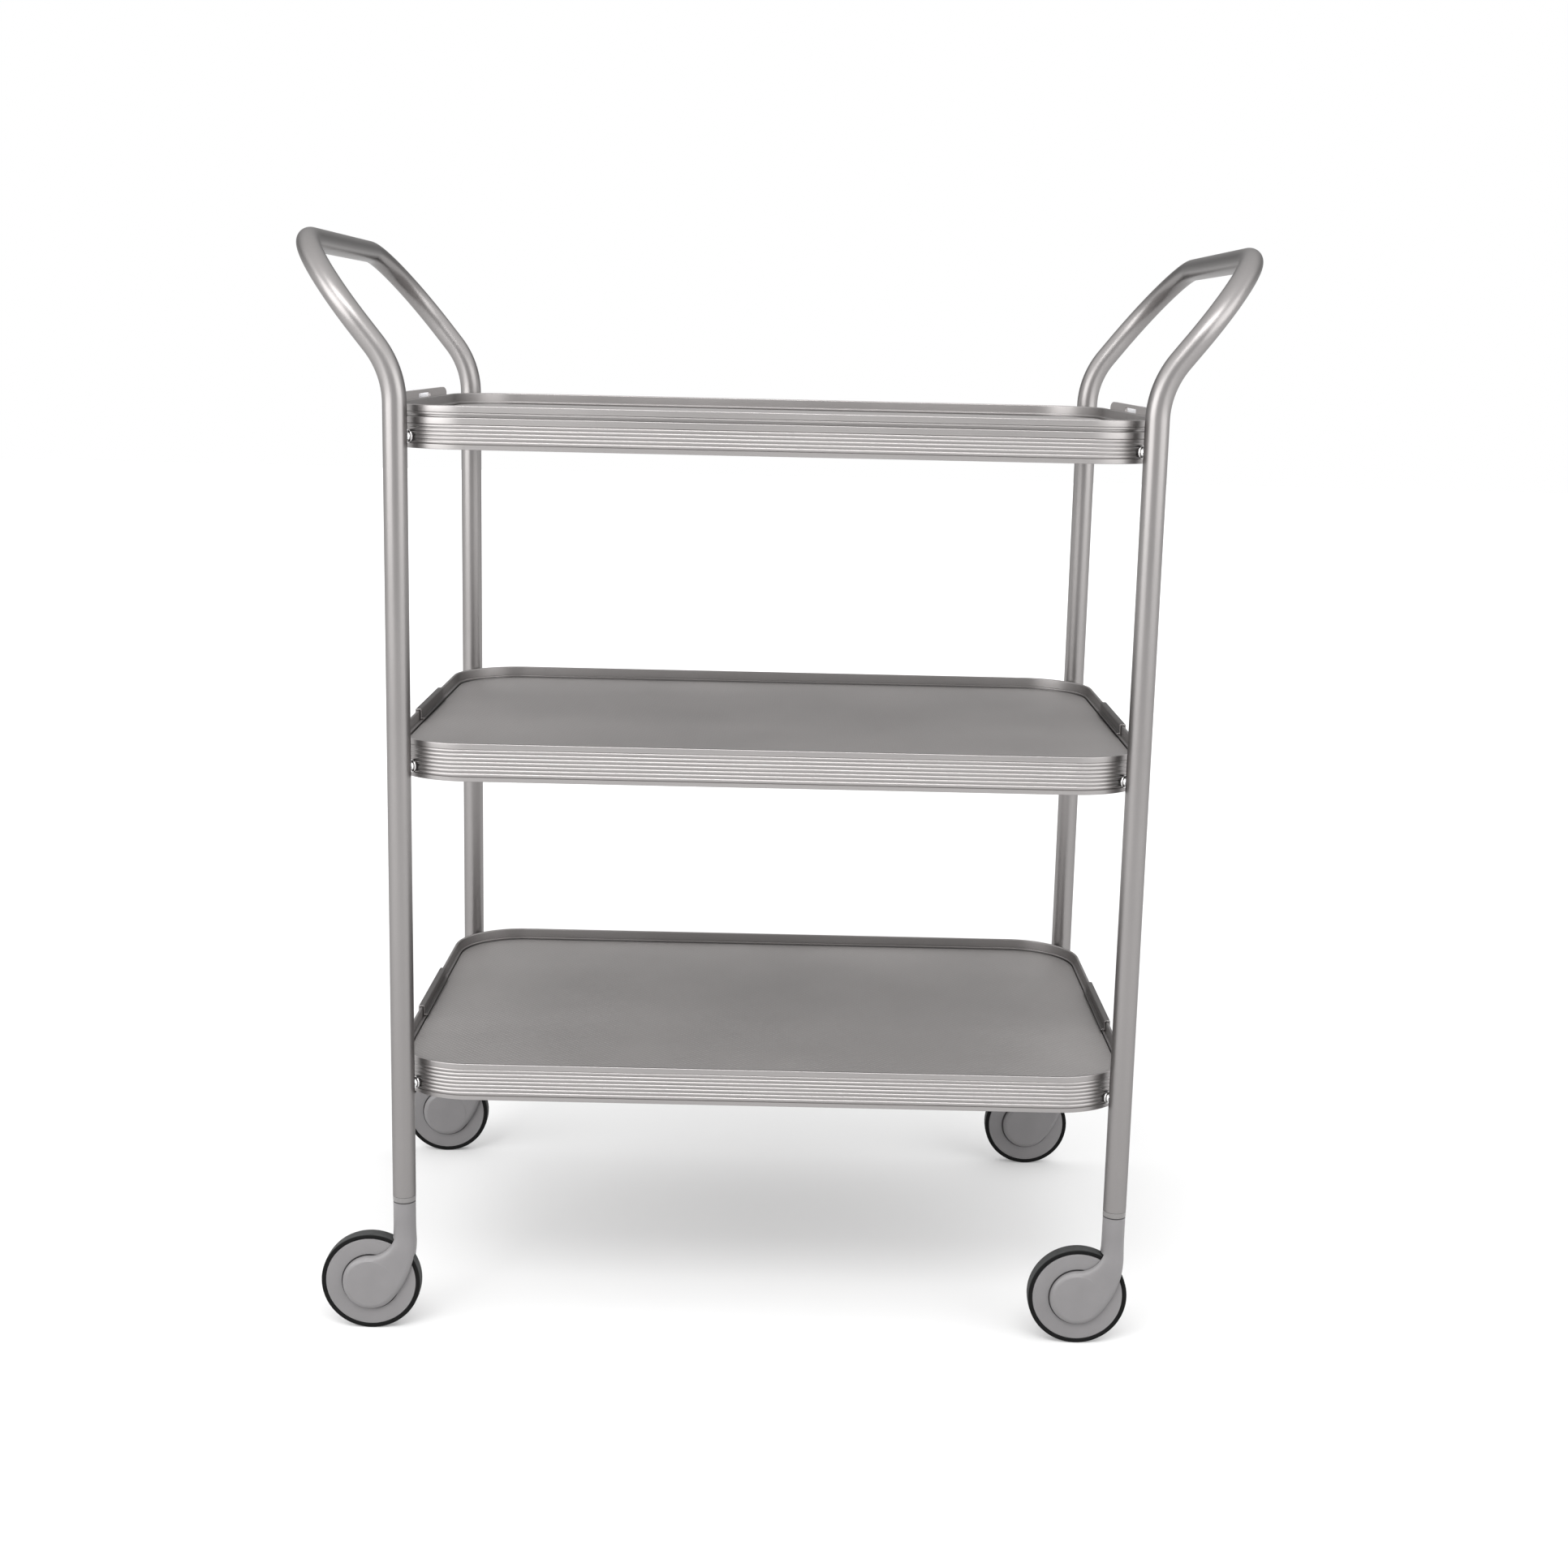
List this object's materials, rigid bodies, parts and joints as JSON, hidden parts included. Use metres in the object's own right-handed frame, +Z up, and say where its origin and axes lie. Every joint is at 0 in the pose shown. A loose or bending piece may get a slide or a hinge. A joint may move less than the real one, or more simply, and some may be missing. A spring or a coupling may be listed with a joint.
{
  "type": "bar cart",
  "caption": "Tiered bar cart: tray decks with ribbed rims between two bent tube side frames, lift-off serving tray with handles, swivel casters.",
  "frame": {"origin": "on the floor, under the middle of the cart", "axes": "+X along the length towards the right-hand push handle, +Y from the front long side to the back, +Z up"},
  "size_m": [0.7678, 0.4352, 0.8994],
  "materials": {
    "satin_aluminium": "satin anodised extrusion and tube, slightly warm silver",
    "embossed_aluminium": "anodised sheet with a fine staggered emboss",
    "sheet_aluminium": "satin anodised folded sheet",
    "grip_aluminium": "satin anodised bar",
    "light_nylon": "moulded light grey nylon, fine texture",
    "bright_steel": "bright plated screws and cup washers",
    "axle_steel": "drawn steel pin",
    "collar_plastic": "grey moulded collar",
    "grey_nylon": "grey moulded nylon, fine spark texture",
    "tyre": "black moulded tread"
  },
  "bodies": {
    "cart": {"caster_socket_back_left": "collar_plastic", "caster_socket_back_right": "collar_plastic", "caster_socket_front_left": "collar_plastic", "caster_socket_front_right": "collar_plastic", "lower_joint_clip_left": "sheet_aluminium", "lower_joint_clip_right": "sheet_aluminium", "lower_tray_panel": "embossed_aluminium", "lower_tray_rim_back": "satin_aluminium", "lower_tray_rim_front": "satin_aluminium", "middle_joint_clip_left": "sheet_aluminium", "middle_joint_clip_right": "sheet_aluminium", "middle_tray_panel": "embossed_aluminium", "middle_tray_rim_back": "satin_aluminium", "middle_tray_rim_front": "satin_aluminium", "side_frame_left": "satin_aluminium", "side_frame_right": "satin_aluminium", "top_hoop_back": "satin_aluminium", "top_hoop_front": "satin_aluminium", "tray_bolt_lower_back_left": "bright_steel", "tray_bolt_lower_back_right": "bright_steel", "tray_bolt_lower_front_left": "bright_steel", "tray_bolt_lower_front_right": "bright_steel", "tray_bolt_middle_back_left": "bright_steel", "tray_bolt_middle_back_right": "bright_steel", "tray_bolt_middle_front_left": "bright_steel", "tray_bolt_middle_front_right": "bright_steel", "tray_bolt_top_back_left": "bright_steel", "tray_bolt_top_back_right": "bright_steel", "tray_bolt_top_front_left": "bright_steel", "tray_bolt_top_front_right": "bright_steel"},
    "serving_tray": {"grip_elbow_back_left": "light_nylon", "grip_elbow_back_right": "light_nylon", "grip_elbow_front_left": "light_nylon", "grip_elbow_front_right": "light_nylon", "handle_grip_left": "grip_aluminium", "handle_grip_right": "grip_aluminium", "handle_plate_left": "sheet_aluminium", "handle_plate_right": "sheet_aluminium", "serving_tray_panel": "embossed_aluminium", "serving_tray_rim_back": "satin_aluminium", "serving_tray_rim_front": "satin_aluminium"},
    "caster_front_left": {"caster_fork_front_left": "grey_nylon", "caster_axle_front_left": "axle_steel"},
    "wheel_front_left": {"caster_wheel_front_left": "grey_nylon", "caster_tyre_front_left": "tyre"},
    "caster_front_right": {"caster_fork_front_right": "grey_nylon", "caster_axle_front_right": "axle_steel"},
    "wheel_front_right": {"caster_wheel_front_right": "grey_nylon", "caster_tyre_front_right": "tyre"},
    "caster_back_left": {"caster_fork_back_left": "grey_nylon", "caster_axle_back_left": "axle_steel"},
    "wheel_back_left": {"caster_wheel_back_left": "grey_nylon", "caster_tyre_back_left": "tyre"},
    "caster_back_right": {"caster_fork_back_right": "grey_nylon", "caster_axle_back_right": "axle_steel"},
    "wheel_back_right": {"caster_wheel_back_right": "grey_nylon", "caster_tyre_back_right": "tyre"}
  },
  "joints": [
    {"name": "swivel_front_left", "type": "hinge", "parent": "cart", "child": "caster_front_left", "pos_m": [-0.295, -0.2065, 0.1], "axis": [0, 0, 1], "continuous": true},
    {"name": "roll_front_left", "type": "hinge", "parent": "caster_front_left", "child": "wheel_front_left", "pos_m": [-0.323, -0.2065, 0.0414], "axis": [0, 1, 0], "continuous": true},
    {"name": "swivel_front_right", "type": "hinge", "parent": "cart", "child": "caster_front_right", "pos_m": [0.295, -0.2065, 0.1], "axis": [0, 0, 1], "continuous": true},
    {"name": "roll_front_right", "type": "hinge", "parent": "caster_front_right", "child": "wheel_front_right", "pos_m": [0.267, -0.2065, 0.0414], "axis": [0, 1, 0], "continuous": true},
    {"name": "swivel_back_left", "type": "hinge", "parent": "cart", "child": "caster_back_left", "pos_m": [-0.295, 0.2065, 0.1], "axis": [0, 0, 1], "continuous": true},
    {"name": "roll_back_left", "type": "hinge", "parent": "caster_back_left", "child": "wheel_back_left", "pos_m": [-0.323, 0.2065, 0.0414], "axis": [0, 1, 0], "continuous": true},
    {"name": "swivel_back_right", "type": "hinge", "parent": "cart", "child": "caster_back_right", "pos_m": [0.295, 0.2065, 0.1], "axis": [0, 0, 1], "continuous": true},
    {"name": "roll_back_right", "type": "hinge", "parent": "caster_back_right", "child": "wheel_back_right", "pos_m": [0.267, 0.2065, 0.0414], "axis": [0, 1, 0], "continuous": true},
    {"name": "lift_serving_tray", "type": "slide", "parent": "cart", "child": "serving_tray", "axis": [0, 0, 1], "range_m": [0, 0.15]}
  ]
}
